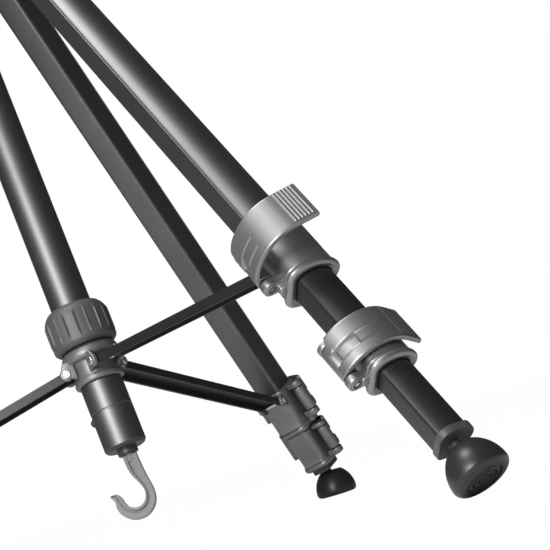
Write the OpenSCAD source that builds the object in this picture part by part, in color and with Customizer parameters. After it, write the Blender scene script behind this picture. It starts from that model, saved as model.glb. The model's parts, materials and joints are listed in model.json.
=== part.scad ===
// Aluminium photo tripod with braced legs, two leg locks on each leg, a weight hook
// and a pan and tilt head. Lengths in millimetres, +Z up, standing on the plane z = 0.
// "Column space" has its origin on the column axis at the height of the hub pivots.
// "Leg space" has its origin at the shoulder pivot, +X away from the column, +Z up the leg.

/* [Legs] */
// Angle between each leg and the column
leg_angle = 25.6; // [23:0.1:27]
// Distance of the shoulder pivots from the column axis
shoulder_r = 38; // [36:0.5:40]
// Height of the shoulder pivots over the hub pivots
shoulder_z = 353.2; // [345:0.1:360]
// Shoulder pivot to the brace pivot, along the leg
brace_s = 418.6; // [410:0.1:425]
// Distance of the brace pivot from the leg axis, towards the column
brace_x = 15.8; // [15.2:0.1:16.5]
// How far leg 1 has its middle section pulled out
mid_pulled = 35.1; // [0:0.1:80]
// How far leg 1 has its lower section pulled out
low_pulled = 42.1; // [0:0.1:80]

/* [Leg tubes] */
// Widths of the upper, middle and lower tube, across the leg
tube_w = [24, 20.8, 18];
// Depths of the three tubes, away from the column
tube_d = [22.8, 19.8, 17.2];
// Widths of their flat faces on the column side
tube_flat = [17.6, 14.8, 12.4];
// Radii of their outer corners
outer_r = [8.3, 6.9, 5.7];
// Radii of their corners on the column side
inner_r = [3, 2.6, 2.2];
// Wall thickness of the three tubes
tube_wall = [1.3, 1.1, 1.1];

/* [Locks and levers] */
// Thickness of the lock bodies round the tubes
lock_wall = 2.4; // [2.2:0.1:2.6]
// Length of the lower lock bodies
lock_len = 30; // [29:0.5:32]
// Length of the levers, along the leg
lever_len = 18.4; // [16:0.1:19]
// Thickness of the lever plates
lever_t = 2.8; // [2.2:0.1:3.2]
// How far the plates of the upper and lower levers reach up over their upper ears
lever_over = [5, 3.8];
// How far the upper lever of leg 1 stands open, in degrees
lever_open = 48; // [0:1:52]

/* [Feet] */
// Radius of the rubber feet
foot_r = 14.6; // [13.5:0.1:15.5]
// Height of the rubber feet
foot_h = 18.5; // [17:0.5:19]
// Height of the ball of the foot over the sole
ball_h = 10.5; // [10:0.5:11]
// Tilt of the foot of leg 1 out of line with its leg
foot_tilt = 5; // [0:1:12]

/* [Column and hub] */
// Outer radius of the fixed centre tube
center_r = 12.4; // [12:0.1:12.6]
// Outer radius of the lifting column
column_r = 10.7; // [10:0.1:10.8]
// Radius at which the braces hinge on the hub
hub_pivot_r = 17; // [16.8:0.1:18]
// Outer radius of the ribbed collar
collar_r = 20; // [19:0.1:21]
// Number of ribs on the collar
collar_ribs = 14; // [10:1:16]
// Width of the brace channels
brace_w = 14.4; // [13:0.1:14.6]
// Height of the brace channels
brace_t = 5.3; // [4.8:0.1:5.4]

/* [Head] */
// Height of the tilt axis over the shoulder pivots
tilt_up = 70; // [68:0.5:74]
// Length of the pan handle
handle_len = 190; // [150:5:220]
// Downward slope of the pan handle
handle_slope = 15; // [10:1:18]
// Radius of the camera screw, a quarter inch thread
screw_r = 3.175; // [3.1:0.005:3.2]

/* [Hidden] */
$fn = 96;
SIDES = ["1", "2", "3"];
LEG_PARTS = [
    "leg_top", "upper_tube", "upper_lock", "upper_lever", "leg_pins", "mid_tube", "lower_lock",
    "lower_lever", "lower_lock_pin", "lower_tube", "foot_cap", "foot", "brace",
];
CENTRE_PARTS = [
    "spider", "shoulder_pins", "center_tube", "end_sleeve", "sleeve_stud", "end_cap", "hook",
    "hub", "hub_collar", "hub_pins", "column", "column_knob", "head_base", "pan_body", "pan_knob",
    "tilt_body", "handle_rod", "handle_grip", "platform", "release_plate", "camera_screw",
];

// Azimuths of the legs round the column
leg_az = [-60, 60, 180];
gap = 0.4;

// Stations along the leg, as distances below the shoulder pivot
top_cap_s = 16;
upper_tube_s = 22;
lock1_top_s = brace_s - 6;
lock1_end_s = brace_s + 28;
upper_end_s = brace_s + 22;
lock2_top_s = lock1_end_s + gap;
lock2_end_s = lock2_top_s + lock_len;
mid_top_s = 70;
mid_end_s = lock2_end_s - 6;
cap_top_s = lock2_end_s + gap;
cap_t = 4;
low_top_s = 80;
ball_s = cap_top_s + cap_t + 11.5;
mid_out = [mid_pulled, 0, 0];
low_out = [low_pulled, 0, 0];
upper_open = [lever_open, 0, 0];
lever1_s = brace_s - 1.2;
lever2_s = lock2_top_s + 4;
hinge_x = -4;
knuckle_r = 4.4;
pin_r = 1.5;
bore_r = pin_r + 0.06;
lever_gap = 0.6;
tip_turn = 28;
tip_len = 15;
rim_len = 6;
rim_grow = 1;
brace_ear_r = 3.9;
brace_gap = 0.3;

// Braces: the outer pivot in column space, as radius and height, and the slope down to it
pivot_out = [
    shoulder_r + brace_s * sin(leg_angle) - brace_x * cos(leg_angle),
    shoulder_z - brace_s * cos(leg_angle) - brace_x * sin(leg_angle),
];
brace_run = pivot_out[0] - hub_pivot_r;
brace_slope = atan2(-pivot_out[1], brace_run);
brace_len = norm([brace_run, pivot_out[1]]);

// Lean of the column: leg 1 is longer, so the plane through the soles isn't square to the column
function ball_reach(k) = ball_s + mid_out[k] + low_out[k];
function ball_rad(k) = shoulder_r + ball_reach(k) * sin(leg_angle);
function ball_z(k) = shoulder_z - ball_reach(k) * cos(leg_angle);
lean_x = ball_rad(0) + ball_rad(1) / 2;
lean_z = ball_z(1) - ball_z(0);
sole_edge = 3.2;
function foot_drop(a) = (ball_h - sole_edge) * cos(a) + (foot_r - sole_edge) * sin(a) + sole_edge;
function lean_for(a) =
    atan2(lean_z, lean_x) + asin((foot_drop(leg_angle + a - foot_tilt) - ball_h) / norm([lean_x, lean_z]));
lean = lean_for(lean_for(lean_for(10)));
stand_h = ball_h + ball_rad(1) / 2 * sin(lean) - ball_z(1) * cos(lean);
// Puts the origin under the middle of the overall box
middle = [43, 18.8];

// End sleeve and hook, as radii and heights in column space
sleeve_r = 12.9;
sleeve_end = -51;
hook_top = -60;
hook_bowl = [-6, -22.4];

// Head: heights of its base, tilt axis, deck and plate, and the place of the flip hinge
head_z = shoulder_z + 24.4;
tilt_z = shoulder_z + tilt_up;
cheek_r = 8.4;
deck_z = tilt_z + 15;
flip_x = -17;
flip_z = tilt_z + 12;
plate_z = deck_z + 5.3;
screw_len = 6;

// ---- placing ----

module lean_back(a) rotate([0, 0, leg_az[0]]) rotate([0, -a, 0]) rotate([0, 0, -leg_az[0]]) children();

// Column space
module place() translate([middle[0], middle[1], stand_h]) lean_back(lean) children();

// Leg space of leg k, moved s down the leg
module on_leg(k, s = 0)
    place() rotate([0, 0, leg_az[k]]) translate([shoulder_r, 0, shoulder_z])
        rotate([0, -leg_angle, 0]) translate([0, 0, -s]) children();

module round_legs() for (az = leg_az) rotate([0, 0, az]) children();

// A cylinder across the leg or brace, centred
module across(r, w) rotate([90, 0, 0]) cylinder(r = r, h = w, center = true);

// ---- leg tube sections ----

// Outer and inner corner centres of section i
function outer_c(i) = [tube_d[i] / 2 - outer_r[i], tube_w[i] / 2 - outer_r[i]];
function inner_c(i) = [-tube_d[i] / 2 + inner_r[i], tube_flat[i] / 2 - inner_r[i]];
// Direction square to the side wall of section i, as an angle
function side_angle(i) =
    let (d = inner_c(i) - outer_c(i), turn = acos((outer_r[i] - inner_r[i]) / norm(d)))
    atan2(d[1], d[0]) - turn;

// Points on an arc round c, from angle a to angle b in n steps
function arc(c, r, a, b, n) = [for (m = [0:n]) c + r * [cos(a + (b - a) * m / n), sin(a + (b - a) * m / n)]];

// Section i of the leg tubes, grown by g all round
module section(i, g = 0) {
    half = concat(
        arc(outer_c(i), outer_r[i] + g, 0, side_angle(i), 12),
        arc(inner_c(i), inner_r[i] + g, side_angle(i), 180, 6)
    );
    polygon(concat(half, [for (m = [len(half) - 1:-1:0]) [half[m][0], -half[m][1]]]));
}

// Solid bar of section i from s = 0 down to s = len
module bar(i, g, len) translate([0, 0, -len]) linear_extrude(len) section(i, g);

module tube(i, len) {
    difference() {
        bar(i, 0, len);
        translate([0, 0, 1]) bar(i, -tube_wall[i], len + 2);
    }
}

// ---- leg parts ----

module leg_top(k) color("#4a4b4d") on_leg(k) {
    difference() {
        union() {
            across(8, 15.4);
            translate([-6, -7.7, -top_cap_s]) cube([12, 15.4, top_cap_s]);
        }
        across(2.6, 20);
    }
    translate([0, 0, -top_cap_s]) bar(0, 0.8, upper_tube_s - top_cap_s);
    translate([0, 0, -upper_tube_s]) bar(0, -tube_wall[0], 18);
}

module upper_tube(k) color("#2d2e30") on_leg(k, upper_tube_s) tube(0, upper_end_s - upper_tube_s);

module mid_tube(k) color("#29292b") on_leg(k, mid_top_s + mid_out[k]) tube(1, mid_end_s - mid_top_s);

module lower_tube(k)
    color("#29292b") on_leg(k, low_top_s + mid_out[k] + low_out[k]) tube(2, cap_top_s + 1 - low_top_s);

// Hinge place of a lever on section i
function hinge_y(i) = -tube_w[i] / 2 - lock_wall - 4.8;

// Ear that holds the lever's pin, t long
module hinge_ear(i, t) {
    difference() {
        union() {
            translate([hinge_x, hinge_y(i), -t]) cylinder(r = knuckle_r, h = t);
            translate([hinge_x - 2, hinge_y(i), -t]) cube([2 + knuckle_r, lock_wall + 4.9, t]);
        }
        translate([hinge_x, hinge_y(i), -t - 1]) cylinder(r = pin_r, h = t + 2);
    }
}

// Lever over the outer face of a lock body on section i, its plate reaching over the upper ear
module lever(i) {
    near = lock_wall + lever_gap;
    difference() {
        union() {
            translate([0, 0, -lever_len]) linear_extrude(lever_len + lever_over[i]) {
                difference() {
                    section(i, near + lever_t);
                    section(i, near);
                    translate([hinge_x - 58, -30]) square([60, 60]);
                    translate(outer_c(i)) rotate(tip_turn) translate([-40, 0]) square([80, 40]);
                    translate([-20, outer_c(i)[1]]) square([20 + outer_c(i)[0], 30]);
                }
                translate(outer_c(i)) rotate(tip_turn) translate([outer_r[i] + near, -0.1])
                    square([lever_t, tip_len]);
            }
            translate([hinge_x, hinge_y(i), -lever_len]) linear_extrude(lever_len - 0.1) {
                circle(r = knuckle_r - 0.2);
                square([4, lever_t + 1]);
            }
        }
        translate([hinge_x, hinge_y(i), -lever_len - 1]) cylinder(r = bore_r, h = lever_len + 2);
        translate([hinge_x - 10, hinge_y(i) - 10, 0]) cube([knuckle_r + 10.8, 24, lever_over[i] + 1]);
    }
}

// Hinge pin of a lever, through both ears
module lever_pin(i, len) translate([hinge_x, hinge_y(i), -len]) cylinder(r = pin_r, h = len);

module upper_lock(k) color("#77787a") on_leg(k) {
    ear_w = 2.6;
    difference() {
        union() {
            translate([0, 0, -lock1_top_s]) bar(0, lock_wall, lock1_end_s - lock1_top_s);
            translate([0, 0, -lock1_end_s + rim_len]) bar(0, lock_wall + rim_grow, rim_len);
            for (s = [-1, 1]) translate([-brace_x, s * (brace_w / 2 + brace_gap + ear_w / 2), -brace_s]) {
                across(brace_ear_r, ear_w);
                translate([0, -ear_w / 2, -rim_len]) cube([6, ear_w, rim_len + brace_ear_r]);
            }
        }
        translate([0, 0, -lock1_top_s + 1]) bar(0, 0, upper_end_s - lock1_top_s + 1);
        translate([0, 0, -lock1_top_s]) bar(1, 0.35, 60);
        translate([-30, -brace_w / 2 - brace_gap, -brace_s - 4])
            cube([30 - tube_d[0] / 2, brace_w + 2 * brace_gap, 20]);
        translate([-brace_x, 0, -brace_s]) across(pin_r, 40);
    }
    translate([0, 0, -lever1_s + 4.6]) hinge_ear(0, 4.2);
    translate([0, 0, -lever1_s - lever_len - gap]) hinge_ear(0, 4.6);
}

module upper_lever(k) color("#6c6d70") on_leg(k, lever1_s)
    translate([hinge_x, hinge_y(0), 0]) rotate([0, 0, -upper_open[k]])
        translate([-hinge_x, -hinge_y(0), 0]) lever(0);

// The upper lock's lever pin and the brace's outer pin
module leg_pins(k) color("#c9cacc") on_leg(k) {
    translate([0, 0, -lever1_s + 4.6]) lever_pin(0, lever_len + 9);
    translate([-brace_x, 0, -brace_s]) {
        across(pin_r, brace_w + 5.8);
        for (s = [-1, 1]) translate([0, s * (brace_w / 2 + 3.6), 0]) across(2.4, 1.2);
    }
}

module lower_lock(k) color("#77787a") on_leg(k, lock2_top_s + mid_out[k]) {
    difference() {
        union() {
            bar(1, lock_wall, lock_len);
            translate([0, 0, rim_len - lock_len]) bar(1, lock_wall + rim_grow, rim_len);
        }
        translate([0, 0, 1]) bar(1, 0, lock_len - 5);
        translate([0, 0, 1]) bar(2, 0.35, lock_len + 4);
    }
    translate([0, 0, -0.4]) hinge_ear(1, 3.2);
    translate([0, 0, -4 - lever_len - gap]) hinge_ear(1, 4.4);
}

module lower_lever(k) color("#6c6d70") on_leg(k, lever2_s + mid_out[k]) lever(1);

module lower_lock_pin(k) color("#c9cacc") on_leg(k, lock2_top_s + 0.4 + mid_out[k]) lever_pin(1, lever_len + 8.4);

// End cap of the lower tube, with the ball that the foot swivels on
module foot_cap(k) color("#8d8e90") on_leg(k, cap_top_s + mid_out[k] + low_out[k]) {
    translate([0, 0, 10]) bar(2, -tube_wall[2], 9);
    translate([0, 0, -1]) bar(2, 0.9, cap_t - 1);
    difference() {
        bar(2, 0.9, 1.2);
        translate([0, 0, 0.1]) bar(2, 0, 1.2);
    }
    translate([0, 0, -15.5]) cylinder(r = 3, h = 13);
    translate([0, 0, -15.5]) sphere(r = 4.4);
}

// Rubber foot round the ball at the origin, sole down
module foot_shape() {
    top_z = foot_h - ball_h;
    difference() {
        rotate_extrude() {
            difference() {
                union() {
                    intersection() {
                        translate([-4, sole_edge - ball_h]) circle(r = foot_r + 4);
                        translate([0, sole_edge - ball_h]) square([foot_r, foot_h - sole_edge]);
                    }
                    translate([0, -ball_h]) square([foot_r - sole_edge, sole_edge + 0.1]);
                    translate([foot_r - sole_edge, sole_edge - ball_h]) circle(r = sole_edge);
                }
                translate([-60, -50]) square([60, 100]);
            }
        }
        sphere(r = 4.7);
        cylinder(r1 = 4.2, r2 = 7.4, h = top_z + 0.2);
        for (r = [2.6, 5.4, 8.2]) translate([0, 0, -ball_h - 0.1])
            difference() {
                cylinder(r = r + 1.1, h = 0.9);
                translate([0, 0, -1]) cylinder(r = r, h = 3);
            }
    }
}

// Foot 1 hangs almost in line with its leg, and feet 2 and 3 stand flat
module foot(k) color("#1f1f20") {
    if (k == 0) on_leg(k, ball_reach(k)) rotate([0, foot_tilt, 0]) foot_shape();
    else place() rotate([0, 0, leg_az[k]]) translate([ball_rad(k), 0, ball_z(k)])
        rotate([0, 0, -leg_az[k]]) lean_back(-lean) foot_shape();
}

// Channel from the hub to the upper lock, open below
module brace(k) color("#232325") place() rotate([0, 0, leg_az[k]]) translate([hub_pivot_r, 0, 0])
    rotate([0, brace_slope, 0]) {
        wall = 1.4;
        difference() {
            union() {
                translate([0, -brace_w / 2, -brace_t / 2]) cube([brace_len, brace_w, brace_t]);
                across(brace_t / 2, brace_w);
                translate([brace_len, 0, 0]) across(brace_t / 2, brace_w);
            }
            translate([-10, -brace_w / 2 + wall, -brace_t])
                cube([brace_len + 20, brace_w - 2 * wall, 1.5 * brace_t - wall]);
            across(bore_r, 40);
            translate([brace_len, 0, 0]) across(bore_r, 40);
        }
    }

// ---- centre ----

module spider() color("#3b3c3e") place() {
    difference() {
        union() {
            translate([0, 0, shoulder_z - 16]) cylinder(r = 21, h = 28);
            translate([0, 0, shoulder_z + 12]) cylinder(r1 = 19, r2 = 16.5, h = 12);
            translate([0, 0, shoulder_z + 17]) rotate([0, 90, 0]) cylinder(r = 6, h = 24);
            round_legs() for (s = [-1, 1]) translate([0, s * 10, shoulder_z]) {
                translate([shoulder_r, 0, 0]) across(9, 4);
                translate([14, -2, -9]) cube([shoulder_r - 14, 4, 18]);
            }
        }
        translate([0, 0, shoulder_z - 17]) cylinder(r = center_r, h = 25);
        translate([0, 0, shoulder_z - 17]) cylinder(r = column_r + 0.3, h = 60);
        translate([0, 0, shoulder_z + 17]) rotate([0, 90, 0]) cylinder(r = 2.5, h = 30);
        round_legs() translate([shoulder_r, 0, shoulder_z]) across(2.5, 40);
    }
}

// Stub pins in the shoulder ears, clear of the legs' tongues
module shoulder_pins() color("#c9cacc") place() round_legs()
    for (s = [-1, 1]) translate([shoulder_r, 0, shoulder_z]) {
        translate([0, s * 10, 0]) across(2.5, 4);
        translate([0, s * 12.6, 0]) across(4, 1.2);
    }

module center_tube() color("#2d2e30") place() difference() {
    translate([0, 0, -9]) cylinder(r = center_r, h = shoulder_z + 17);
    translate([0, 0, -10]) cylinder(r = center_r - 1.1, h = shoulder_z + 20);
}

module end_sleeve() color("#343537") place() difference() {
    union() {
        translate([0, 0, sleeve_end]) cylinder(r = sleeve_r, h = -10.4 - sleeve_end);
        translate([0, 0, -11]) cylinder(r = center_r - 1.1, h = 22);
    }
    translate([0, 0, sleeve_end - 1]) cylinder(r = center_r - 3, h = 80);
    translate([0, 0, -28.6]) difference() {
        cylinder(r = sleeve_r + 1, h = 0.8);
        translate([0, 0, -1]) cylinder(r = sleeve_r - 0.4, h = 3);
    }
}

module sleeve_stud() color("#3b3c3e") place() rotate([0, 0, 175]) intersection() {
    translate([sleeve_r - 0.9, 0, -31.5]) sphere(r = 2.6);
    difference() {
        translate([sleeve_r - 10, -10, -40]) cube([20, 20, 20]);
        translate([0, 0, -50]) cylinder(r = sleeve_r, h = 50);
    }
}

module end_cap() color("#3b3c3e") place() {
    difference() {
        union() {
            translate([0, 0, sleeve_end - 1.6]) cylinder(r1 = sleeve_r - 1.4, r2 = sleeve_r, h = 1.6);
            translate([0, 0, sleeve_end - 5.4]) cylinder(r = 6.2, h = 4);
            translate([0, 0, sleeve_end]) cylinder(r = center_r - 3, h = 8);
        }
        translate([0, 0, sleeve_end - 6]) cylinder(r = 2.8, h = 20);
    }
}

// Flat weight hook on a swivel stem, its bowl off the axis
module hook() color("#a9aaac") place() rotate([0, 0, -6]) translate([0, 0, hook_top]) {
    rotate([90, 0, 0]) translate([0, 0, -2.3]) linear_extrude(4.6) {
        difference() {
            translate(hook_bowl) circle(r = 12.2);
            translate([-5.8, -20.8]) circle(r = 6.9);
            polygon([[-5.8, -20.8], [-14.2, -16.7], [-30, -12], [-10, 5], [0, 0]]);
        }
        polygon([[-4, 3], [4.4, 3], [4.9, -8], [6.1, -20], [0.9, -20.8], [0.6, -17], [-3.6, -7.4]]);
        polygon([[-12.5, -22.4], [-12.9, -19.8], [-14.4, -16.7], [-19.6, -15.6], [-17.4, -19], [-17.8, -25]]);
    }
    cylinder(r = 2.6, h = 14);
}

// Spool that slides on the centre tube and carries the braces
module hub() color("#4a4b4d") place() difference() {
    union() {
        translate([0, 0, 4.6]) cylinder(r = 17.5, h = 6.2);
        translate([0, 0, 10.8]) cylinder(r1 = 17.5, r2 = 16, h = 1.4);
        translate([0, 0, -10]) cylinder(r = 13.9, h = 22);
        translate([0, 0, -10]) cylinder(r = 15.2, h = 4);
        round_legs() for (s = [-1, 1]) translate([0, s * (brace_w / 2 + 1.7), 0]) {
            translate([hub_pivot_r, 0, 0]) across(3.9, 2.8);
            translate([10, -1.4, -5]) cube([hub_pivot_r - 10, 2.8, 10]);
        }
    }
    translate([0, 0, -20]) cylinder(r = center_r + 0.2, h = 40);
    round_legs() translate([hub_pivot_r, 0, 0]) across(pin_r, 40);
}

module hub_pins() color("#d8d9da") place() round_legs() translate([hub_pivot_r, 0, 0]) {
    across(pin_r, brace_w + 6.2);
    for (s = [-1, 1]) translate([0, s * (brace_w / 2 + 3.7), 0]) across(2.6, 1.2);
}

module hub_collar() color("#5b5c5e") place() difference() {
    union() {
        translate([0, 0, 12.6]) cylinder(r1 = 17.6, r2 = collar_r, h = 3);
        translate([0, 0, 15.6]) cylinder(r = collar_r, h = 19);
        translate([0, 0, 34.6]) cylinder(r1 = collar_r, r2 = 16.4, h = 4.6);
    }
    translate([0, 0, 10]) cylinder(r = center_r + 0.2, h = 40);
    for (n = [0:collar_ribs - 1]) rotate([0, 0, n * 360 / collar_ribs])
        translate([collar_r + 0.5, 0, 15.5]) cylinder(r = 1.4, h = 17.5);
}

// ---- column and head ----

module column() color("#9b9c9e") place() difference() {
    translate([0, 0, 60]) cylinder(r = column_r, h = head_z - 60);
    translate([0, 0, 50]) cylinder(r = column_r - 1.4, h = head_z - 60);
}

module column_knob() color("#232325") place() translate([0, 0, shoulder_z + 17]) rotate([0, 90, 0]) {
    translate([0, 0, column_r + 0.6]) cylinder(r = 2.4, h = 15);
    difference() {
        translate([0, 0, 24.4]) cylinder(r = 13, h = 13);
        for (n = [0:11]) rotate([0, 0, n * 30]) translate([14, 0, 24]) cylinder(r = 2, h = 15);
    }
}

module head_base() color("#3b3c3e") place() translate([0, 0, head_z]) difference() {
    cylinder(r1 = 15, r2 = 20, h = 10);
    translate([-25, 0, 5]) rotate([0, 90, 0]) cylinder(r = 2.2, h = 16);
}

module pan_body() color("#3b3c3e") place() difference() {
    union() {
        translate([0, 0, head_z + 10.3]) cylinder(r = 20, h = 13.7);
        for (s = [-1, 1]) translate([s * 15.6, 0, 0]) {
            translate([-2.6, -cheek_r, head_z + 20]) cube([5.2, 2 * cheek_r, tilt_z - head_z - 20]);
            translate([0, 0, tilt_z]) rotate([0, 90, 0]) cylinder(r = cheek_r, h = 5.2, center = true);
        }
    }
    translate([0, 0, tilt_z]) rotate([0, 90, 0]) cylinder(r = 3.9, h = 60, center = true);
}

module pan_knob() color("#232325") place() translate([0, 0, head_z + 5]) rotate([0, -90, 0]) {
    translate([0, 0, 11]) cylinder(r = 2, h = 10);
    difference() {
        translate([0, 0, 20.6]) cylinder(r = 8, h = 10);
        for (n = [0:9]) rotate([0, 0, n * 36]) translate([8.6, 0, 20]) cylinder(r = 1.3, h = 12);
    }
}

module tilt_body() color("#4a4b4d") place() difference() {
    union() {
        translate([0, 0, tilt_z]) rotate([0, 90, 0]) cylinder(r = 11, h = 25.4, center = true);
        translate([0, 0, tilt_z]) rotate([0, 90, 0]) cylinder(r = 3.84, h = 44, center = true);
        translate([-12.7, -14, tilt_z]) cube([25.4, 28, 15]);
        for (s = [-1, 1]) translate([flip_x, s * 11.2, flip_z]) {
            across(3, 5);
            translate([0, -2.5, -3]) cube([8, 5, 6]);
        }
    }
    translate([flip_x, 0, flip_z]) across(bore_r, 40);
    translate([0, 4, tilt_z + 2]) rotate([90 + handle_slope, 0, 180]) cylinder(r = 4.2, h = 30);
}

module handle_frame() place() translate([0, 4, tilt_z + 2]) rotate([90 + handle_slope, 0, 180]) children();
module handle_rod() color("#b9babc") handle_frame() cylinder(r = 4, h = handle_len - 60);
module handle_grip() color("#1f1f20") handle_frame() difference() {
    union() {
        translate([0, 0, handle_len - 90]) cylinder(r1 = 8, r2 = 11, h = 12);
        translate([0, 0, handle_len - 78]) cylinder(r = 11, h = 70);
        translate([0, 0, handle_len - 8]) cylinder(r1 = 11, r2 = 7, h = 8);
    }
    translate([0, 0, handle_len - 100]) cylinder(r = 4, h = 40);
}

module platform() color("#3b3c3e") place() difference() {
    union() {
        translate([-22, -26, deck_z + 0.3]) cube([44, 52, 4.6]);
        for (s = [-1, 1]) translate([s * 20.8 - 1.2, -26, deck_z + 0.3]) cube([2.4, 52, 9]);
        translate([flip_x, 0, flip_z]) across(3, 16.8);
        translate([flip_x - 3, -8.4, flip_z]) cube([6, 16.8, 5]);
    }
    translate([flip_x, 0, flip_z]) across(bore_r, 40);
}

module release_plate() color("#5b5c5e") place() difference() {
    translate([-19.2, -21, plate_z]) cube([38.4, 42, 8]);
    translate([0, 0, plate_z - 1]) cylinder(r = 9, h = 4.6);
    translate([0, 0, plate_z - 1]) cylinder(r = screw_r + 0.15, h = 20);
}

module camera_screw() color("#c9cacc") place() translate([0, 0, plate_z]) {
    translate([0, 0, 0.4]) cylinder(r = 8.6, h = 2.8);
    translate([0, 0, 0.4]) cylinder(r = screw_r - 0.4, h = 8);
    translate([0, 0, 8]) cylinder(r = screw_r, h = screw_len);
}

// ---- drawing ----

for (k = [0:2]) {
    leg_top(k);
    upper_tube(k);
    upper_lock(k);
    upper_lever(k);
    leg_pins(k);
    mid_tube(k);
    lower_lock(k);
    lower_lever(k);
    lower_lock_pin(k);
    lower_tube(k);
    foot_cap(k);
    foot(k);
    brace(k);
}
spider();
shoulder_pins();
center_tube();
end_sleeve();
sleeve_stud();
end_cap();
hook();
hub();
hub_collar();
hub_pins();
column();
column_knob();
head_base();
pan_body();
pan_knob();
tilt_body();
handle_rod();
handle_grip();
platform();
release_plate();
camera_screw();
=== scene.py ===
"""Looks of the tripod: detailed locks, levers, tubes, collar, hub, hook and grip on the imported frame."""
import json
import math

import bmesh
import bpy
from mathutils import Matrix, Vector

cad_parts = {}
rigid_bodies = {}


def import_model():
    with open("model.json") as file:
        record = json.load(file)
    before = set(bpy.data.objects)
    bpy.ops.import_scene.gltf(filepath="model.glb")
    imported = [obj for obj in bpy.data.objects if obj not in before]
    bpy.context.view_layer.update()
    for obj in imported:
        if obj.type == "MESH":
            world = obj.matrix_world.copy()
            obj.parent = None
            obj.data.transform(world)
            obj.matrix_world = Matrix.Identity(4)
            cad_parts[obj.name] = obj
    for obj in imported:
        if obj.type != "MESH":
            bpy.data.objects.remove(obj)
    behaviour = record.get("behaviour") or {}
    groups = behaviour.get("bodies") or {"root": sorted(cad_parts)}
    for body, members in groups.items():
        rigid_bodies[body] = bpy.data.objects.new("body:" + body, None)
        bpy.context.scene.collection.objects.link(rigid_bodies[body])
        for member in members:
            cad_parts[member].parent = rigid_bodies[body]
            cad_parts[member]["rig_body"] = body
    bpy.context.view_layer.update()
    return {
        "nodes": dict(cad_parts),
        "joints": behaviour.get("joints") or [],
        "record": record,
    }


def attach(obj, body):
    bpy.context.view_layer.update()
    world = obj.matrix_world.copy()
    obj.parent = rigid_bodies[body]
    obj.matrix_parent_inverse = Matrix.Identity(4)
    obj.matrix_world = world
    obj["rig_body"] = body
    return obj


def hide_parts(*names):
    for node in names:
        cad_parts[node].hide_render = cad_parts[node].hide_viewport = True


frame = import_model()
joints = {joint["name"]: joint for joint in frame["joints"]}
MM = 0.001
LEGS = ("1", "2", "3")
UPPER, MIDDLE, LOWER = 0, 1, 2

# ---- sizes shared with the CAD model, in millimetres ----
# Width across, depth and inner flat of the upper, middle and lower tubes
TUBE_W = (24.0, 20.8, 18.0)
TUBE_D = (22.8, 19.8, 17.2)
TUBE_FLAT = (17.6, 14.8, 12.4)
ARCH_R = 16.0
CORNER_R = 3.0
ARCH_STEPS = 14
CORNER_STEPS = 10
TUBE_WALL = (1.3, 1.1, 1.1)
INNER_R = (3.0, 2.6, 2.2)
LOCK_WALL = 2.4
LEVER_LEN = 18.4
HINGE_X = -4.0
HINGE_OFF_WALL = 4.8
COLLAR_PIVOT_UP = 25.0
LEG_1_AZIMUTH = -60.0
# How far each lever's plate reaches up past its hinge barrel
LEVER_OVER = (5.0, 3.8)


def hinge_y(size):
    """Sideways place of a lever's hinge, from the leg's axis."""
    return -TUBE_W[size] / 2 - LOCK_WALL - HINGE_OFF_WALL


# ---- spaces ----
def joint_start(name):
    """Lower end of a joint's range, in radians: a lever that stands open can still close by that much."""
    return math.radians(joints[name]["range_deg"][0])


def joint_point(name):
    """A point on a joint's axis, in metres."""
    return Vector(joints[name]["pos_m"])


def column_space():
    """Axes of the column: origin on its axis at the hub pivots, Z up the column."""
    up = Vector(joints["hub_slide"]["axis"]).normalized()
    origin = joint_point("collar_twist") - up * COLLAR_PIVOT_UP * MM
    leg_1 = joint_point("brace_hinge_1") - origin
    x_axis = Matrix.Rotation(math.radians(-LEG_1_AZIMUTH), 3, up) @ leg_1.normalized()
    y_axis = up.cross(x_axis)
    space = Matrix((x_axis, y_axis, up)).transposed().to_4x4()
    space.translation = origin
    return space


COLUMN = column_space()


def leg_space(leg, size):
    """Axes of a leg at the middle of its upper or lower lever: X away from the column, Z up the leg."""
    z_axis = -Vector(joints[f"middle_slide_{leg}"]["axis"]).normalized()
    y_axis = Vector(joints[f"brace_hinge_{leg}"]["axis"]).normalized()
    x_axis = y_axis.cross(z_axis)
    name = "upper_lever_" if size == UPPER else "lower_lever_"
    origin = joint_point(name + leg) - (x_axis * HINGE_X + y_axis * hinge_y(size)) * MM
    space = Matrix((x_axis, y_axis, z_axis)).transposed().to_4x4()
    space.translation = origin
    return space


# ---- materials ----
# Size of the slight colour variation and height of the surface grain, in millimetres
CLOUD_SIZE = 38.0
GRAIN_HEIGHT = 0.05
# How far roughness strays below and above its middle value
ROUGH_LESS = 0.05
ROUGH_MORE = 0.06


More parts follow.
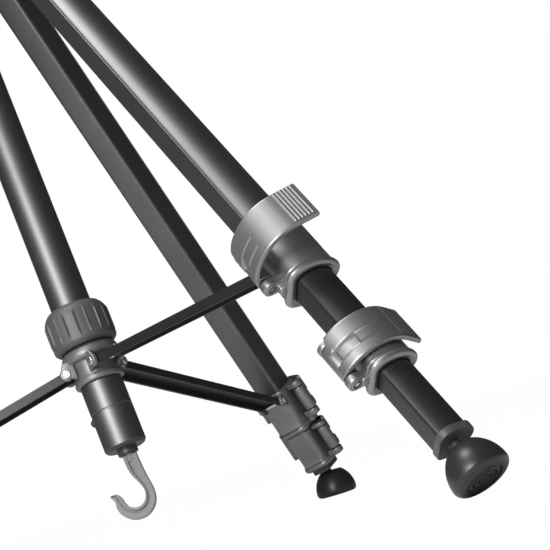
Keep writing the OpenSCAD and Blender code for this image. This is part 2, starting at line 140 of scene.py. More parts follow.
def new_material(name, base, rough, metal=0.0, grain=0.0, grain_size=0.4, spread=0.06):
    """A finish with fine surface grain (bump) and slight variation of colour and roughness."""
    material = bpy.data.materials.new(name)
    material.use_nodes = True
    tree = material.node_tree
    shader = tree.nodes["Principled BSDF"]
    shader.inputs["Metallic"].default_value = metal
    coords = tree.nodes.new("ShaderNodeTexCoord")

    def noise(size_mm, detail):
        """Noise with features of a given size, fixed to the object."""
        node = tree.nodes.new("ShaderNodeTexNoise")
        node.inputs["Scale"].default_value = 1.0 / (size_mm * MM)
        node.inputs["Detail"].default_value = detail
        tree.links.new(coords.outputs["Object"], node.inputs["Vector"])
        return node

    cloud = noise(CLOUD_SIZE, 3.0)
    tint = tree.nodes.new("ShaderNodeValToRGB")
    tint.color_ramp.elements[0].position = 0.3
    tint.color_ramp.elements[1].position = 0.7
    tint.color_ramp.elements[0].color = [c * (1 - spread) for c in base] + [1]
    tint.color_ramp.elements[1].color = [min(1, c * (1 + spread)) for c in base] + [1]
    tree.links.new(cloud.outputs["Fac"], tint.inputs["Fac"])
    tree.links.new(tint.outputs["Color"], shader.inputs["Base Color"])

    fine = noise(grain_size, 2.0)
    rub = tree.nodes.new("ShaderNodeMapRange")
    rub.inputs["To Min"].default_value = rough - ROUGH_LESS
    rub.inputs["To Max"].default_value = rough + ROUGH_MORE
    tree.links.new(fine.outputs["Fac"], rub.inputs["Value"])
    tree.links.new(rub.outputs["Result"], shader.inputs["Roughness"])
    bump = tree.nodes.new("ShaderNodeBump")
    bump.inputs["Strength"].default_value = grain
    bump.inputs["Distance"].default_value = GRAIN_HEIGHT * MM
    tree.links.new(fine.outputs["Fac"], bump.inputs["Height"])
    tree.links.new(bump.outputs["Normal"], shader.inputs["Normal"])
    return material


def grey(value):
    """Grey with a trace of blue."""
    return (value, value, value * 1.01)


MATERIALS = {
    "anthracite": new_material("anthracite_tube", grey(0.17), 0.46, metal=1.0, grain=0.08, grain_size=0.5),
    "graphite": new_material("graphite_tube", grey(0.014), 0.40, metal=0.0, grain=0.06, grain_size=0.5),
    "moulded_grey": new_material("moulded_grey", grey(0.30), 0.42, metal=0.85, grain=0.25, grain_size=0.35),
    "dark_plastic": new_material("dark_plastic", grey(0.035), 0.45, grain=0.3, grain_size=0.35),
    "cast_grey": new_material("cast_grey", grey(0.20), 0.44, metal=0.6, grain=0.2, grain_size=0.45),
    "pin_metal": new_material("pin_metal", grey(0.82), 0.22, metal=1.0, grain=0.05, grain_size=0.3),
    "hook_metal": new_material("hook_metal", grey(0.21), 0.6, metal=0.0, grain=0.0, spread=0.01),
    "bright_tube": new_material("bright_tube", grey(0.55), 0.3, metal=1.0, grain=0.1, grain_size=0.3),
    "black_rubber": new_material("black_rubber", grey(0.022), 0.36, grain=0.2, grain_size=0.5),
    "collar_plastic": new_material("collar_plastic", grey(0.10), 0.52, metal=0.3, grain=0.2, grain_size=0.4),
    "cap_grey": new_material("cap_grey", grey(0.07), 0.42, metal=0.1, grain=0.25, grain_size=0.35),
}
SLOTS = {part["node"]: part["material_slot"] for part in frame["record"]["subparts"]}


# ---- mesh helpers ----
# Points closer than this are joined, in millimetres
WELD = 0.002
# Softened CAD nodes: faces flatter than this are joined, edges sharper than that are rounded
FLAT_DEG = 0.6
BEVEL_DEG = 40
BEVEL_WIDTH = 0.35
BEVEL_SEGMENTS = 2
SOFT_SMOOTH_DEG = 32


def add_piece(name, verts, faces, space, node_slot, body, smooth_deg):
    """A mesh piece from points in millimetres in the given space, riding on a body."""
    mesh = bpy.data.meshes.new(name)
    mesh.from_pydata([space @ (Vector(point) * MM) for point in verts], [], faces)
    piece = bpy.data.objects.new(name, mesh)
    bpy.context.scene.collection.objects.link(piece)
    tidy_mesh(mesh, smooth_deg)
    mesh.materials.append(MATERIALS[node_slot])
    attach(piece, body)
    return piece


def tidy_mesh(mesh, smooth_deg):
    """Joins doubled points, turns every face outwards and smooths below the given angle."""
    work = bmesh.new()
    work.from_mesh(mesh)
    bmesh.ops.remove_doubles(work, verts=work.verts, dist=WELD * MM)
    bmesh.ops.recalc_face_normals(work, faces=work.faces)
    work.to_mesh(mesh)
    work.free()
    mesh.shade_smooth()
    mesh.set_sharp_from_angle(angle=math.radians(smooth_deg))


def ring_faces(rings, count, joined):
    """Quads between neighbouring rings of points, the last one joined to the first if told."""
    faces = []
    for i in range(rings if joined else rings - 1):
        for j in range(count):
            a, b = i * count + j, i * count + (j + 1) % count
            c, d = (i + 1) % rings * count + (j + 1) % count, (i + 1) % rings * count + j
            faces.append([a, b, c, d])
    return faces


def soften(node):
    """Stands for a CAD node: the same shape with its sharp edges rounded a little."""
    source = frame["nodes"][node]
    mesh = source.data.copy()
    work = bmesh.new()
    work.from_mesh(mesh)
    bmesh.ops.remove_doubles(work, verts=work.verts, dist=WELD * MM)
    bmesh.ops.dissolve_limit(work, angle_limit=math.radians(FLAT_DEG), verts=work.verts, edges=work.edges)
    work.to_mesh(mesh)
    work.free()
    mesh.materials.clear()
    mesh.materials.append(MATERIALS[SLOTS[node]])
    piece = bpy.data.objects.new(node + "_rounded", mesh)
    bpy.context.scene.collection.objects.link(piece)
    bevel = piece.modifiers.new("edges", "BEVEL")
    bevel.width = BEVEL_WIDTH * MM
    bevel.segments = BEVEL_SEGMENTS
    bevel.limit_method = "ANGLE"
    bevel.angle_limit = math.radians(BEVEL_DEG)
    bevel.use_clamp_overlap = True
    piece.modifiers.new("flat_faces", "WEIGHTED_NORMAL").keep_sharp = True
    mesh.shade_smooth()
    mesh.set_sharp_from_angle(angle=math.radians(SOFT_SMOOTH_DEG))
    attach(piece, source["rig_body"])
    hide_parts(node)


def step(x, low, high):
    """Smooth step from 0 below low to 1 above high."""
    t = min(1.0, max(0.0, (x - low) / (high - low)))
    return t * t * (3 - 2 * t)


def arc_points(centre, radius, start, end, count):
    """Points on an arc, angles in degrees."""
    points = []
    for m in range(count + 1):
        a = math.radians(start + (end - start) * m / count)
        points.append((centre[0] + radius * math.cos(a), centre[1] + radius * math.sin(a)))
    return points


def section(size, grow):
    """Outline of a leg tube, grown all round: a broad outer arch, two firm corners, tapering sides."""
    scale = TUBE_W[size] / TUBE_W[UPPER]
    arch_r, corner_r, inner_r = ARCH_R * scale, CORNER_R * scale, INNER_R[size]
    arch_c = (TUBE_D[size] / 2 - arch_r, 0.0)
    spread = math.asin((TUBE_W[size] / 2 - corner_r) / (arch_r - corner_r))
    corner = (arch_c[0] + (arch_r - corner_r) * math.cos(spread), TUBE_W[size] / 2 - corner_r)
    inner = (-TUBE_D[size] / 2 + inner_r, TUBE_FLAT[size] / 2 - inner_r)
    dx, dy = inner[0] - corner[0], inner[1] - corner[1]
    side = math.degrees(math.atan2(dy, dx) - math.acos((corner_r - inner_r) / math.hypot(dx, dy))) % 360
    half = arc_points(arch_c, arch_r + grow, 0, math.degrees(spread), ARCH_STEPS)
    half += arc_points(corner, corner_r + grow, math.degrees(spread), side, CORNER_STEPS)
    half += arc_points(inner, max(0.2, inner_r + grow), side, 180, 6)
    return half + [(x, -y) for x, y in reversed(half)]


# ---- lofted shapes ----
def loft(rings, closed=True):
    """Points and faces of a skin over rings of equal length, its two ends capped or joined."""
    count = len(rings[0])
    verts = [point for ring in rings for point in ring]
    faces = ring_faces(len(rings), count, not closed)
    if closed:
        faces.append(list(range(count))[::-1])
        faces.append([(len(rings) - 1) * count + j for j in range(count)])
    return verts, faces


def merge(shapes):
    """One list of points and faces from several shapes."""
    verts, faces = [], []
    for some_verts, some_faces in shapes:
        faces += [[len(verts) + index for index in face] for face in some_faces]
        verts += some_verts
    return verts, faces


def revolve(profile, count, swell=None):
    """Solid turned round Z from (radius, height) pairs; swell adds to the radius at an angle and height."""
    rings = []
    for radius, height in profile:
        ring = []
        for m in range(count):
            a = 2 * math.pi * m / count
            r = max(0.01, radius + (swell(a, height) if swell else 0.0))
            ring.append((r * math.cos(a), r * math.sin(a), height))
        rings.append(ring)
    return loft(rings)


def tube_wall(profile, count, swell=None):
    """Ring-shaped solid turned round Z from a closed loop of (radius, height) pairs."""
    verts = revolve(profile, count, swell)[0]
    rings = [verts[m * count:(m + 1) * count] for m in range(len(profile))]
    return loft(rings, closed=False)


def inset(outline, depth):
    """Outline moved inwards along its normals (anticlockwise outline)."""
    moved = []
    for m, here in enumerate(outline):
        before, after = Vector(outline[m - 1]), Vector(outline[(m + 1) % len(outline)])
        here = Vector(here)
        first, second = (here - before).normalized(), (after - here).normalized()
        normal = Vector((-(first.y + second.y), first.x + second.x)).normalized()
        stretch = max(0.5, abs(normal.dot(Vector((-second.y, second.x)))))
        moved.append(tuple(here + normal * depth / stretch))
    return moved


def slab(outline, low, high, edge, steps=3):
    """Plate with rounded rims between two heights."""
    rings = []
    for side in (0, 1):
        for m in range(steps + 1):
            a = math.pi / 2 * (m if side == 0 else steps - m) / steps
            depth, rise = edge * (1 - math.sin(a)), edge * (1 - math.cos(a))
            height = low + rise if side == 0 else high - rise
            rings.append([(x, y, height) for x, y in inset(outline, depth)])
    return loft(rings)


def rounded(corners, radii, steps):
    """Anticlockwise outline with each corner rounded by its own radius."""
    outline = []
    for m, (corner, radius) in enumerate(zip(corners, radii)):
        here = Vector(corner)
        before = (Vector(corners[m - 1]) - here).normalized()
        after = (Vector(corners[(m + 1) % len(corners)]) - here).normalized()
        cut = radius / math.tan(before.angle(after) / 2)
        start, end = here + before * cut, here + after * cut
        for n in range(steps + 1):
            t = n / steps
            outline.append(tuple(start * (1 - t) ** 2 + here * 2 * t * (1 - t) + end * t * t))
    return outline


def curve_through(points, per_span):
    """Smooth open curve (Catmull-Rom) through points."""
    pts = [Vector(p) for p in points]
    pts = [pts[0] * 2 - pts[1]] + pts + [pts[-1] * 2 - pts[-2]]
    out = []
    for m in range(1, len(pts) - 2):
        for n in range(per_span):
            t = n / per_span
            a, b, c, d = pts[m - 1:m + 3]
            out.append(0.5 * (2 * b + (c - a) * t + (2 * a - 5 * b + 4 * c - d) * t ** 2
                              + (3 * b - a - 3 * c + d) * t ** 3))
    out.append(pts[-2])
    return out


def resample(points, stations):
    """Points of a curve at given distances along it, and the curve's length."""
    lengths = [0.0]
    for a, b in zip(points, points[1:]):
        lengths.append(lengths[-1] + (b - a).length)
    out, m = [], 0
    for s in stations:
        while m < len(lengths) - 2 and lengths[m + 1] < s:
            m += 1
        t = (s - lengths[m]) / (lengths[m + 1] - lengths[m])
        out.append(points[m].lerp(points[m + 1], min(1.0, max(0.0, t))))
    return out, lengths[-1]


def body_of(node):
    """The moving body that a CAD node belongs to."""
    return frame["nodes"][node]["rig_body"]


def build(node, name, shapes, space, replace=True, smooth_deg=35.0, slot=None, finish=None):
    """A piece made of shapes in a space, riding with a CAD node and standing for it if told."""
    verts, faces = merge(shapes)
    piece = add_piece(name, verts, faces, space, slot or SLOTS[node], body_of(node), smooth_deg)
    if finish:
        piece.data.materials[0] = MATERIALS[finish]
    if replace:
        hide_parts(node)


# ---- leg locks ----
# Top and lower end of each lock body, from the middle of its lever
BODY_TOP = (14.0, 13.0)
BODY_END = (-20.0, -17.0)
RIM_GROW = 3.5
RIM_BEAD_R = 2.3
KNUCKLE_R = 4.4
LEVER_HALF = LEVER_LEN / 2
# Heights of the two hinge ears of each lock, from the middle of its lever
EARS = (((9.6, 13.8), (-14.2, -9.6)), ((9.4, 12.6), (-14.2, -9.8)))
# Ear of a brace's outer pin: its distance towards the column and height, radius, and its two faces
BRACE_EAR = (15.8, 8.0)
BRACE_EAR_R = 3.9
BRACE_EAR_Y = (7.5, 10.1)
# Height, from the middle of its lever, at which each lock's bore narrows to the next tube
NECK = (-14.0, -13.0)


def lock_shell(size):
    """Moulded clamp round a tube: rounded top edge, slight waist and a thick rolled rim."""
    top, end = BODY_TOP[size], BODY_END[size]
    bead = RIM_BEAD_R
    outer = [(top, 1.2), (top, 1.7), (top - 0.25, 2.15), (top - 0.7, 2.4), (top - 1.4, 2.45)]
    outer += [(-3.0, 2.4), (-7.0, 2.3), (end + 2 * bead + 0.9, 2.35), (end + 2 * bead + 0.2, 2.6)]
    for m in range(9):
        a = math.radians(60 - 150 * m / 8)
        outer.append((end + bead * 0.9 + bead * math.sin(a), RIM_GROW - bead + bead * math.cos(a)))
    outer.append((end + 0.1, 0.8))
    rings = [[(x, y, z) for x, y in section(size, grow)] for z, grow in outer]
    inner = [(1, 0.5, end + 0.5), (1, 0.35, end + 1.5), (1, 0.35, NECK[size])]
    inner += [(0, 0.0, NECK[size]), (0, 0.0, top - 0.2), (0, 0.4, top)]
    rings += [[(x, y, z) for x, y in section(size + step_in, grow)] for step_in, grow, z in inner]
    return loft(rings, closed=False)


def hinge_ear(size, low, high):
    """Ear of the lever's hinge: a knuckle joined to the lock body by a web."""
    hx, hy = HINGE_X, hinge_y(size)
    wall_y = -TUBE_W[size] / 2 - 0.8
    outline = arc_points((hx, hy), KNUCKLE_R, 165, 345, 22)
    outline += [(hx + 4.5, hy + 2.2), (hx + 5.4, wall_y), (hx - 2.6, wall_y), (hx - 3.6, hy + 3.0)]
    return slab(outline, low, high, 0.7)


def screw_seat(size, height):
    """Recessed screw at the end of the lever's hinge: a raised ring round a socket head."""
    hx, hy = HINGE_X, hinge_y(size)
    ring = [(3.1, 0.6), (3.1, -0.1), (2.9, -0.35), (2.6, -0.4), (2.3, -0.3), (2.2, 0.3), (2.2, 0.9)]
    verts, faces = tube_wall(ring, 40)
    return [(x + hx, y + hy, z + height) for x, y, z in verts], faces


def socket_head(size, height):
    """Pin end seen in the screw seat, with a round socket."""
    hx, hy = HINGE_X, hinge_y(size)
    outline = [(2.1, 0.9), (2.1, 0.1), (1.8, -0.1), (1.25, -0.12), (1.1, 0.5), (0.2, 0.55)]
    verts, faces = revolve(outline[::-1], 36)
    return [(x + hx, y + hy, z + height) for x, y, z in verts], faces


def side_boss(size):
    """Ridge that joins the lower ear to the rim on the hinge side."""
    hx, hy = HINGE_X, hinge_y(size)
    top = EARS[size][1][1]
    corners = [(hx - 1.2, hy + 2.8), (hx + 3.0, hy + 1.4), (hx + 4.8, hy + 4.4)]
    corners += [(hx + 4.8, hy + 6.2), (hx - 1.2, hy + 6.2)]
    return slab(rounded(corners, [1, 1, 1, 0.4, 0.4], 3), BODY_END[size] + 1.5, top, 0.8)


def brace_ear(side):
    """Ear on the column side that takes the brace's outer pin; the plate lies in XZ."""
    bx, bz = -BRACE_EAR[0], BRACE_EAR[1]
    outline = arc_points((bx, bz), BRACE_EAR_R, 90, 270, 18)
    outline += [(bx + 4.0, bz - 5.6), (bx + 6.4, bz - 6.0), (bx + 6.4, bz + 3.9)]
    verts, faces = slab(outline, BRACE_EAR_Y[0], BRACE_EAR_Y[1], 0.6)
    return [(x, side * y, z) for x, z, y in verts], faces


# Outer line of an upper lever, from round its hinge over the outer face to the thumb tip
LEVER_LINE = [
    (-8.1, -17.4), (-7.6, -21.2), (-4.6, -23.4), (-0.5, -23.2), (4.5, -21.2), (9.4, -17.6),
    (13.6, -12.0), (16.4, -5.6), (17.2, 1.0), (16.2, 7.2), (14.2, 12.4), (11.8, 17.2), (8.9, 23.2),
]
# Lever plate: thickness, rounding of its long edges, and spans across its width
PLATE_THICK = 2.7
PLATE_EDGE = 1.0
PLATE_STEPS = 52
# Thumb ribs of an upper and a lower lever
LEVER_RIBS = (6, 5)
RIB_PITCH = (1.9, 3.0)
RIB_HEIGHT = 0.5
# Heights of the two scored lines, from the middle of the hinge barrel
SCORES = (-3.2, 3.4)
SCORE_DEPTH = 0.42
SCORE_HALF = 0.28
WINDOW_DEPTH = 1.5
# Shares of an upper and a lower lever's length at which its window and its scored lines end
WINDOW_SHARE = (0.30, 0.42)
SCORE_SHARE = (0.52, 0.60)
# Spacing of the lever's stations over the ribs and elsewhere
FINE_STEP = 0.18
COARSE_STEP = 0.55


def lever_shape(size):
    """Cam lever: a curved plate with two scored lines, a window by its hinge and thumb ribs."""
    k = hinge_y(size) / hinge_y(UPPER)
    line = curve_through([(x * k, y * k) for x, y in LEVER_LINE], 16)
    total = resample(line, [0.0])[1]
    rib_end = LEVER_RIBS[size] * RIB_PITCH[size]
    rib_start = total - rib_end - 1.6
    stations = [0.0, 0.15, 0.4]
    while stations[-1] < total:
        fine = stations[-1] > rib_start - 0.5
        stations.append(stations[-1] + (FINE_STEP if fine else COARSE_STEP))
    stations = [s for s in stations if s < total - 0.3] + [total - 0.15, total]
    outer = resample(line, stations)[0]
    window_end = total * WINDOW_SHARE[size]
    score_end = total * SCORE_SHARE[size]
    thick, edge = PLATE_THICK, PLATE_EDGE
    across = [-1 + 2 * m / PLATE_STEPS for m in range(PLATE_STEPS + 1)]
    rings = []
    for m, s in enumerate(stations):
        low = -LEVER_HALF
        high = LEVER_HALF + LEVER_OVER[size] * step(s, 12.8 * k, 14.4 * k)
        centre, half = (low + high) / 2, (high - low) / 2
        ahead, behind = outer[min(m + 1, len(outer) - 1)], outer[max(m - 1, 0)]
        along = (ahead - behind).normalized()
        inwards = Vector((-along.y, along.x))
        end_round = max(0.0, 1 - min(s, total - s) / 0.9)
        shrink = 0.9 * end_round ** 2
        scored = (1 - step(s, score_end - 2.5, score_end)) * step(s, 1.0, 4.0)
        sunk = (1 - step(s, window_end - 0.7, window_end)) * step(s, 3.0, 5.0)
        ring = []
        for v in across:
            z = centre + v * (half - shrink * 0.5)
            depth = shrink
            rim = half * (1 - abs(v))
            if rim < edge:
                depth += edge - math.sqrt(max(0.0, edge ** 2 - (edge - rim) ** 2))
            for score in SCORES:
                groove = math.exp(-((z - score) / SCORE_HALF) ** 2)
                depth += SCORE_DEPTH * groove * scored
            if SCORES[0] < z < SCORES[1]:
                wall = min(1.0, min(z - SCORES[0], SCORES[1] - z) / 0.5)
                depth += WINDOW_DEPTH * wall * sunk
            rib_s = s - rib_start
            if 0 < rib_s < rib_end:
                crest = 0.5 - 0.5 * math.cos(2 * math.pi * rib_s / RIB_PITCH[size])
                length = 1 - step(abs(v - 0.04), 0.84, 0.90)
                depth -= RIB_HEIGHT * crest ** 1.2 * length
            point = outer[m] + inwards * depth
            ring.append((point.x, point.y, z))
        back = thick - shrink
        if s < 6:
            back += 0.5 * (1 - s / 6)
        for v in across[::-4]:
            point = outer[m] + inwards * (back - (0.5 if abs(v) == 1 else 0.0))
            ring.append((point.x, point.y, centre + v * (half - shrink * 0.5)))
        rings.append(ring)
    return loft(rings)


def lever_knuckle(size):
    """Barrel and cam of the lever round its pin, with a web to the plate."""
    hx, hy = HINGE_X, hinge_y(size)
    outline = arc_points((hx, hy), KNUCKLE_R - 0.25, 60, 320, 30)
    outline += [(hx + 5.4, hy - 2.0), (hx + 5.6, hy - 0.2), (hx + 4.2, hy + 2.0)]
    return slab(outline, -LEVER_HALF + 0.3, LEVER_HALF - 0.3, 0.6)


def build_lock(leg, size):
    """Body, hinge screw and lever of one lock."""
    space = leg_space(leg, size)
    where = "upper" if size == UPPER else "lower"
    top_ear, low_ear = EARS[size]
    shapes = [lock_shell(size), hinge_ear(size, *top_ear), hinge_ear(size, *low_ear)]
    shapes += [side_boss(size), screw_seat(size, low_ear[0])]
    if size == UPPER:
        shapes += [brace_ear(1), brace_ear(-1)]
    node = f"{where}_lock_{leg}"
    build(node, node + "_body", shapes, space)
    build(node, node + "_screw", [socket_head(size, low_ear[0])], space, replace=False, slot="dark_plastic")
    node = f"{where}_lever_{leg}"
    pivot = Matrix.Translation(Vector((HINGE_X, hinge_y(size), 0)) * MM)
    opened = Matrix.Rotation(joint_start(node), 4, "Z")
    shapes = [lever_shape(size), lever_knuckle(size)]
    build(node, node + "_plate", shapes, space @ pivot @ opened @ pivot.inverted())


# ---- leg tubes ----
BEAD_R = 0.5
BEAD_INDEX = ARCH_STEPS + CORNER_STEPS - 3


def reach(node, space):
    """Lowest and highest point of a CAD node along a space's Z, in millimetres."""
    inverse = space.inverted()
    heights = [(inverse @ vertex.co).z / MM for vertex in frame["nodes"][node].data.vertices]
    return min(heights), max(heights)


def tube_shell(size, low, high):
    """Open-ended leg tube with its rims slightly rounded."""
    wall, round_r = TUBE_WALL[size], 0.3
    rings = [(low + round_r, 0.0), (high - round_r, 0.0), (high, -round_r), (high, -wall + round_r)]
    rings += [(high - round_r, -wall), (low + round_r, -wall), (low, -wall + round_r), (low, -round_r)]
    return loft([[(x, y, z) for x, y in section(size, grow)] for z, grow in rings], closed=False)


def build_tubes(leg):
    """The three tubes of a leg, with a bead along both front corners of the upper one."""
    space = leg_space(leg, UPPER)
    for size, node in enumerate((f"upper_tube_{leg}", f"mid_tube_{leg}", f"lower_tube_{leg}")):
        low, high = reach(node, space)
        build(node, node + "_drawn", [tube_shell(size, low, high)], space)
        if size == UPPER:
            outline = section(UPPER, -0.1)
            ends = (BODY_TOP[UPPER] - 1, high - 0.5)
            beads = []
            for x, y in (outline[BEAD_INDEX], outline[len(outline) - 1 - BEAD_INDEX]):
                ring = arc_points((x, y), BEAD_R, 0, 330, 11)
                beads.append(loft([[(u, v, z) for u, v in ring] for z in ends]))
            build(node, node + "_bead", beads, space, replace=False)


# ---- centre parts ----
# Bore of the hub and the collar; the collar's fins, their half width as a share of their spacing
BORE_R = 12.7
COLLAR_FINS = 18
FIN_SHARE = 0.06
FIN_HEIGHT = 0.85


def collar_shape():
    """Ribbed locking collar with rolled rims."""
    loop = [(BORE_R, 12.9), (16.6, 12.7), (17.4, 12.9), (18.4, 13.7), (19.3, 14.7), (19.75, 15.9)]
    loop += [(19.6, 17.2)] + [(19.5, 20 + 1.6 * m) for m in range(8)]
    loop += [(19.35, 33.0), (19.0, 34.6), (18.3, 36.0), (17.2, 37.4)]
    loop += [(16.2, 38.5), (15.2, 39.1), (14.0, 39.2), (BORE_R, 39.0)]

    def fins(angle, height):
        """Height of the fins over the collar's wall."""
        beat = (angle * COLLAR_FINS / (2 * math.pi)) % 1.0 - 0.5
        crest = math.exp(-(beat / FIN_SHARE) ** 2)
        return FIN_HEIGHT * crest * step(height, 16.4, 18.6) * (1 - step(height, 31.0, 34.5))

    return tube_wall(loop, COLLAR_FINS * 24, fins)


def hub_spool():
    """Spool of the hub with a fat rolled upper flange, a waist and a thinner lower flange."""
    loop = [(BORE_R, -10), (14.4, -10), (15.0, -9.6), (15.3, -8.6), (15.3, -7.4), (14.9, -6.5), (14.2, -6.0)]
    loop += [(13.9, -4.5), (13.9, 2.2), (14.2, 3.6), (15.0, 4.2), (16.2, 4.4), (17.1, 5.0), (17.6, 6.2)]
    loop += [(17.7, 7.8), (17.4, 9.6), (16.6, 11.0), (15.6, 11.9), (14.6, 12.2), (BORE_R, 12.2)]
    return tube_wall(loop, 112)


# Distance of the hub's pivots from the column's axis, and the two faces of each lug
HUB_PIVOT_R = 17.0
LUG_Y = (7.5, 10.3)


def hub_lug(azimuth, side):
    """Curved lug that comes down from the flange round the end of a brace."""
    outline = arc_points((HUB_PIVOT_R, 0), 3.9, -120, 40, 18)
    outline += [(18.6, 4.6), (17.6, 6.8), (11, 7.6), (11, -5)]
    verts, faces = slab(outline, LUG_Y[0], LUG_Y[1], 0.9)
    turn = Matrix.Rotation(math.radians(azimuth), 3, "Z")
    return [tuple(turn @ Vector((x, side * y, z))) for x, z, y in verts], faces


def build_hub():
    """Ribbed collar, and the hub's spool with its three pairs of lugs."""
    build("hub_collar", "hub_collar_ribbed", [collar_shape()], COLUMN, finish="collar_plastic")
    lugs = [hub_lug(az, side) for az in (LEG_1_AZIMUTH, 60, 180) for side in (-1, 1)]
    build("hub", "hub_spool", [hub_spool()] + lugs, COLUMN)


# Weight hook: its outer and inner edge from the shank's top to the tip, and half thickness
HOOK_OUTER = [
    (4.4, 3), (4.7, -4), (5.2, -11), (6.0, -17), (6.3, -22), (5.2, -27.5), (1.8, -32.0), (-3, -34.4),
    (-8.5, -34.4), (-13.5, -32), (-16.8, -28), (-18.0, -23.5), (-17.6, -20), (-19.4, -16.4),
]
HOOK_INNER = [
    (-4, 3), (-3.9, -3), (-3.0, -8.5), (-1.3, -12.6), (0.5, -17.0), (1.0, -21.0), (-0.4, -25.0),
    (-3.4, -27.4), (-7.2, -27.6), (-10.6, -25.6), (-12.4, -22.4), (-13.2, -19.2), (-15.0, -16.2),
    (-18.6, -15.6),
]
HOOK_TOP = -60.0
HOOK_TURN = -6.0
HOOK_HALF = 2.3
HOOK_SPANS = 70
# Shares of the hook's width that its scored line lies between, and the line's depth
HOOK_GROOVE = (0.25, 0.46)
HOOK_GROOVE_DEPTH = 1.3


def hook_strip(inner, outer, near, far, half):
    """Slab of the hook between two shares of its width, 0 at the inner edge and 1 at the outer."""
    near_line = [(a.lerp(b, near).x, a.lerp(b, near).y) for a, b in zip(inner, outer)]
    far_line = [(a.lerp(b, far).x, a.lerp(b, far).y) for a, b in zip(inner, outer)]
    verts, faces = slab(near_line + far_line[::-1], -half, half, 0.35, 2)
    turn = Matrix.Rotation(math.radians(HOOK_TURN), 3, "Z")
    return [tuple(turn @ Vector((x, y, z)) + Vector((0, 0, HOOK_TOP))) for x, z, y in verts], faces


def build_hook():
    """Hook of one thickness with a scored line that follows its inner edge."""
    count = HOOK_SPANS
    sides = []
    for edge in (HOOK_INNER, HOOK_OUTER):
        line = curve_through(edge, 10)
        total = resample(line, [0.0])[1]
        sides.append(resample(line, [total * m / count for m in range(count + 1)])[0])
    inner, outer = sides
    shapes = [hook_strip(inner, outer, 0.02, 0.98, HOOK_HALF - HOOK_GROOVE_DEPTH)]
    shapes.append(hook_strip(inner, outer, 0.0, HOOK_GROOVE[0], HOOK_HALF))
    shapes.append(hook_strip(inner, outer, HOOK_GROOVE[1], 1.0, HOOK_HALF))
    stem = [(0.2, -1.0), (2.5, -1.0), (2.6, -0.5), (2.6, 13.5), (2.2, 14.0), (0.2, 14.0)]
    verts, faces = revolve(stem, 48)
    shapes.append(([(x, y, z + HOOK_TOP) for x, y, z in verts], faces))
    build("hook", "weight_hook", shapes, COLUMN, smooth_deg=15.0)


# ---- head parts ----
GRIP_R = 11.0
GRIP_RINGS = 12
RING_PITCH = 5.0
RING_DEPTH = 0.8
# Ridges of each pad, the first one's distance from the screw, and half of a ridge's length and width
PAD_RIDGES = 7
PAD_PITCH = 2.2
PAD_START = 6.0
RIDGE_HALF = (17.5, 0.7)


def grip_space():
    """Axes of the pan handle: Z along the handle, away from the head."""
    origin = joint_point("handle_turn")
    z_axis = Vector(joints["handle_turn"]["axis"]).normalized()
    first = frame["nodes"]["handle_grip"].data.vertices[0].co
    if (first - origin).dot(z_axis) < 0:
        z_axis = -z_axis
    x_axis = z_axis.orthogonal().normalized()
    space = Matrix((x_axis, z_axis.cross(x_axis), z_axis)).transposed().to_4x4()
    space.translation = origin
    return space


def build_grip():
    """Rubber grip with rings, a tapered neck and a rounded end."""
    space = grip_space()
    low, high = reach("handle_grip", space)
    groove_r = GRIP_R - RING_DEPTH
    profile = [(4.1, low), (7.4, low), (8.2, low + 0.8), (9.7, low + 5)]
    profile += [(10.8, low + 11), (GRIP_R, low + 13)]
    for m in range(GRIP_RINGS):
        base = low + 14 + m * RING_PITCH
        profile += [(GRIP_R, base), (GRIP_R, base + 3.0), (groove_r, base + 3.5), (groove_r, base + 4.5)]
    profile += [(GRIP_R, high - 15), (GRIP_R, high - 9), (10.6, high - 6), (9.4, high - 2.8)]
    profile += [(7.8, high - 0.8), (6.0, high), (0.01, high)]
    build("handle_grip", "handle_grip_ringed", [revolve(profile, 64)], space)


def build_pad():
    """Ridged rubber pads on both sides of the camera screw."""
    top = reach("release_plate", COLUMN)[1]
    shapes = []
    for side in (-1, 1):
        for m in range(PAD_RIDGES):
            y = side * (PAD_START + m * PAD_PITCH)
            x, half = RIDGE_HALF
            outline = [(-x, y - half), (x, y - half), (x, y + half), (-x, y + half)]
            shapes.append(slab(outline, top - 0.2, top + 0.6, 0.3))
    build("release_plate", "release_plate_pad", shapes, COLUMN, replace=False, slot="black_rubber")


# ---- camera, light and floor ----
# Camera in the column's axes: millimetres, degrees and millimetres of focal length
CAMERA_AT = Vector((19.7, -950.9, -228.2))
CAMERA_AZIMUTH = 6.12
CAMERA_DOWN = -14.1
CAMERA_ROLL = -23.2
CAMERA_LENS = 106.0
# Lights: metres from the hub to the camera's right, up and towards it, then size in metres and watts
LIGHTS = {
    "key": (-0.5, 0.35, 1.0, 0.5, 12),
    "top": (-0.6, 1.0, 0.2, 0.5, 8),
    "low": (0.3, -0.9, 0.9, 0.5, 1.5),
}
FILL_STRENGTH = 0.07
# Floor: height and half width in metres, and the share of it the camera looks through
FLOOR_Z = -0.0005
FLOOR_HALF = 6.0
FLOOR_CLEAR = 0.99


def add_camera():
    """Camera placed in the column's axes, looking a little upward and turned on its side."""
    az, down, roll = (math.radians(a) for a in (CAMERA_AZIMUTH, CAMERA_DOWN, CAMERA_ROLL))
    forward = Vector((math.sin(az) * math.cos(down), math.cos(az) * math.cos(down), -math.sin(down)))
    right = Vector((math.cos(az), -math.sin(az), 0))
    over = right.cross(forward)
    x_axis = right * math.cos(roll) + over * math.sin(roll)
    y_axis = over * math.cos(roll) - right * math.sin(roll)
    place = Matrix((x_axis, y_axis, -forward)).transposed().to_4x4()
    place.translation = CAMERA_AT * MM
    data = bpy.data.cameras.new("camera")
    data.lens = CAMERA_LENS
    data.clip_start = 0.01
    camera = bpy.data.objects.new("camera", data)
    camera.matrix_world = COLUMN @ place
    bpy.context.scene.collection.objects.link(camera)
    bpy.context.scene.camera = camera
    return camera


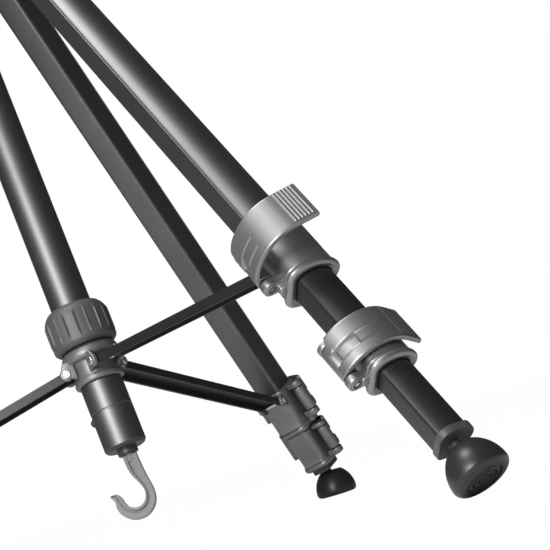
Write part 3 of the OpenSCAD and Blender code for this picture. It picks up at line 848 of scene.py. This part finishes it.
def add_area_light(name, camera, side, over, toward, size, power):
    """A soft light placed from the camera's own axes, in metres, aimed at the hub."""
    data = bpy.data.lights.new(name, "AREA")
    data.shape = "DISK"
    data.size = size
    data.energy = power
    light = bpy.data.objects.new(name, data)
    turn = camera.matrix_world.to_3x3()
    aim = COLUMN.translation
    light.location = aim + turn @ Vector((side, over, toward))
    light.rotation_euler = (aim - light.location).to_track_quat("-Z", "Y").to_euler()
    bpy.context.scene.collection.objects.link(light)


def add_world():
    """White backdrop for the camera, and a faint even fill for everything else."""
    world = bpy.data.worlds.new("studio")
    world.use_nodes = True
    tree = world.node_tree
    tree.nodes.clear()
    out = tree.nodes.new("ShaderNodeOutputWorld")
    mix = tree.nodes.new("ShaderNodeMixShader")
    path = tree.nodes.new("ShaderNodeLightPath")
    seen = tree.nodes.new("ShaderNodeBackground")
    seen.inputs["Color"].default_value = (1, 1, 1, 1)
    seen.inputs["Strength"].default_value = 1.0
    fill = tree.nodes.new("ShaderNodeBackground")
    fill.inputs["Color"].default_value = (1, 1, 1, 1)
    fill.inputs["Strength"].default_value = FILL_STRENGTH
    tree.links.new(path.outputs["Is Camera Ray"], mix.inputs["Fac"])
    tree.links.new(fill.outputs["Background"], mix.inputs[1])
    tree.links.new(seen.outputs["Background"], mix.inputs[2])
    tree.links.new(mix.outputs["Shader"], out.inputs["Surface"])
    bpy.context.scene.world = world
    bpy.context.scene.view_settings.view_transform = "Standard"


def add_floor():
    """Pale floor that melts into the white backdrop; legs pulled out below it stay in sight."""
    mesh = bpy.data.meshes.new("floor")
    half = FLOOR_HALF
    corners = [(-half, -half), (half, -half), (half, half), (-half, half)]
    mesh.from_pydata([(x, y, FLOOR_Z) for x, y in corners], [], [(0, 1, 2, 3)])
    floor = bpy.data.objects.new("floor", mesh)
    bpy.context.scene.collection.objects.link(floor)
    material = bpy.data.materials.new("pale_floor")
    material.use_nodes = True
    tree = material.node_tree
    shader = tree.nodes["Principled BSDF"]
    shader.inputs["Base Color"].default_value = (0.9, 0.9, 0.9, 1)
    shader.inputs["Roughness"].default_value = 0.9
    shader.inputs["Specular IOR Level"].default_value = 0.1
    clear = tree.nodes.new("ShaderNodeBsdfTransparent")
    path = tree.nodes.new("ShaderNodeLightPath")
    share = tree.nodes.new("ShaderNodeMath")
    share.operation = "MULTIPLY"
    share.inputs[1].default_value = FLOOR_CLEAR
    mix = tree.nodes.new("ShaderNodeMixShader")
    tree.links.new(path.outputs["Is Camera Ray"], share.inputs[0])
    tree.links.new(share.outputs["Value"], mix.inputs["Fac"])
    tree.links.new(shader.outputs["BSDF"], mix.inputs[1])
    tree.links.new(clear.outputs["BSDF"], mix.inputs[2])
    tree.links.new(mix.outputs["Shader"], tree.nodes["Material Output"].inputs["Surface"])
    mesh.materials.append(material)


camera = add_camera()
add_world()
add_floor()
for name, light in LIGHTS.items():
    add_area_light(name, camera, *light)

for leg in LEGS:
    build_lock(leg, UPPER)
    build_lock(leg, MIDDLE)
    build_tubes(leg)
build_hub()
build_hook()
build_grip()
build_pad()

rebuilt = {node for node, source in frame["nodes"].items() if source.hide_render}
for node in frame["nodes"]:
    if node not in rebuilt:
        soften(node)
